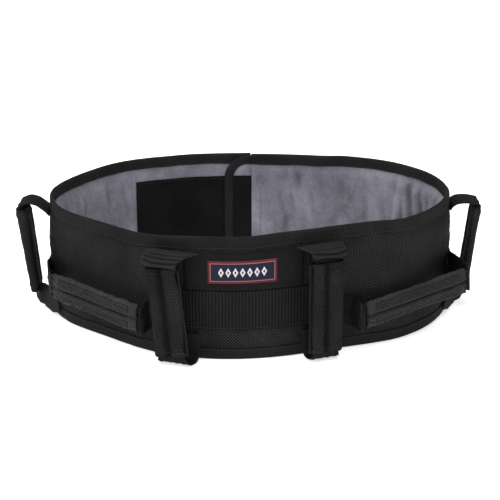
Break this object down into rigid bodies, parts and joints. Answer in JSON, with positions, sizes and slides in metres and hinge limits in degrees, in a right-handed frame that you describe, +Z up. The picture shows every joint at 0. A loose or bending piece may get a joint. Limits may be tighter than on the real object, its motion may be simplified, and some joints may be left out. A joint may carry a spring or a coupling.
{
  "type": "gait belt",
  "caption": "Wide padded gait belt standing as a closed loop, with padded hand grips in front, on the flanks and at the sides, and a hook-and-loop closure at the back.",
  "frame": {"origin": "middle of the whole belt's plan, on the floor it stands on", "axes": "+Z up; +Y from the front panel towards the closure at the back; +X to the right for someone who faces the front panel, along the belt's width"},
  "size_m": [0.4478, 0.2632, 0.12],
  "materials": {
    "black_cloth": "matt woven nylon",
    "black_tape": "ribbed woven tape",
    "black_webbing": "ribbed webbing",
    "grey_lining": "soft brushed knit",
    "foam": "open-cell foam, hidden",
    "hook_and_loop": "matt pile",
    "label_cloth": "woven label"
  },
  "bodies": {
    "belt": {"front_shell": "black_cloth", "front_left_anchor_flap": "black_cloth", "front_right_anchor_flap": "black_cloth", "front_label_panel": "black_cloth", "front_top_binding": "black_tape", "front_bottom_binding": "black_tape", "front_webbing": "black_webbing", "front_left_upper_tab": "black_webbing", "front_left_lower_tab": "black_webbing", "front_right_upper_tab": "black_webbing", "front_right_lower_tab": "black_webbing", "left_flank_front_tab": "black_webbing", "left_flank_rear_tab": "black_webbing", "right_flank_front_tab": "black_webbing", "right_flank_rear_tab": "black_webbing", "left_side_upper_tab": "black_webbing", "left_side_lower_tab": "black_webbing", "right_side_upper_tab": "black_webbing", "right_side_lower_tab": "black_webbing", "front_lining": "grey_lining", "front_foam": "foam", "label_patch": "label_cloth"},
    "left_wing": {"left_wing_shell": "black_cloth", "left_wing_top_binding": "black_tape", "left_wing_bottom_binding": "black_tape", "left_wing_end_binding": "black_tape", "left_wing_lining": "grey_lining", "left_wing_foam": "foam", "left_wing_loop_panel": "hook_and_loop"},
    "right_wing": {"right_wing_shell": "black_cloth", "right_wing_top_binding": "black_tape", "right_wing_bottom_binding": "black_tape", "right_wing_lining": "grey_lining", "right_wing_foam": "foam"},
    "closure_tab": {"closure_tab_binding": "black_tape", "closure_tab_core": "grey_lining", "closure_tab_hook_panel": "hook_and_loop", "closure_tab_inner_panel": "hook_and_loop"},
    "front_left_handle": {"front_left_grip": "black_cloth", "front_left_core": "black_webbing"},
    "front_right_handle": {"front_right_grip": "black_cloth", "front_right_core": "black_webbing"},
    "left_flank_handle": {"left_flank_grip": "black_cloth", "left_flank_core": "black_webbing"},
    "right_flank_handle": {"right_flank_grip": "black_cloth", "right_flank_core": "black_webbing"},
    "left_side_handle": {"left_side_grip": "black_cloth", "left_side_core": "black_webbing"},
    "right_side_handle": {"right_side_grip": "black_cloth", "right_side_core": "black_webbing"}
  },
  "joints": [
    {"name": "left_wing_opening", "type": "hinge", "parent": "belt", "child": "left_wing", "pos_m": [-0.16722, 0.06894, 0], "axis": [0, 0, 1], "range_deg": [0, 100]},
    {"name": "right_wing_opening", "type": "hinge", "parent": "belt", "child": "right_wing", "pos_m": [0.17355, 0.07275, 0], "axis": [0, 0, -1], "range_deg": [0, 50]},
    {"name": "closure_tab_adjustment", "type": "hinge", "parent": "right_wing", "child": "closure_tab", "pos_m": [-0.00034, -0.33236, 0], "axis": [0, 0, 1], "range_deg": [-2.5, 2.5]},
    {"name": "front_left_swing", "type": "hinge", "parent": "belt", "child": "front_left_handle", "pos_m": [-0.069, -0.10197, 0], "axis": [0, 0, 1], "range_deg": [-5, 30]},
    {"name": "front_right_swing", "type": "hinge", "parent": "belt", "child": "front_right_handle", "pos_m": [0.06251, -0.09321, 0], "axis": [0, 0, 1], "range_deg": [-30, 30]},
    {"name": "left_side_swing", "type": "hinge", "parent": "belt", "child": "left_side_handle", "pos_m": [-0.19262, 0.01362, 0], "axis": [0, 0, 1], "range_deg": [-30, 30]},
    {"name": "right_side_swing", "type": "hinge", "parent": "belt", "child": "right_side_handle", "pos_m": [0.19265, 0.02165, 0], "axis": [0, 0, 1], "range_deg": [-30, 30]},
    {"name": "left_flank_swing", "type": "hinge", "parent": "belt", "child": "left_flank_handle", "pos_m": [-0.08752, -0.09459, 0.0415], "axis": [-0.735, 0.6767, 0.0428], "range_deg": [-30, 30]},
    {"name": "right_flank_swing", "type": "hinge", "parent": "belt", "child": "right_flank_handle", "pos_m": [0.09175, -0.08292, 0.039], "axis": [0.7383, 0.6712, 0.0666], "range_deg": [-15, 15]}
  ],
  "couplings": [
    {"joint": "right_wing_opening", "follows": "left_wing_opening", "ratio": 0.5}
  ]
}
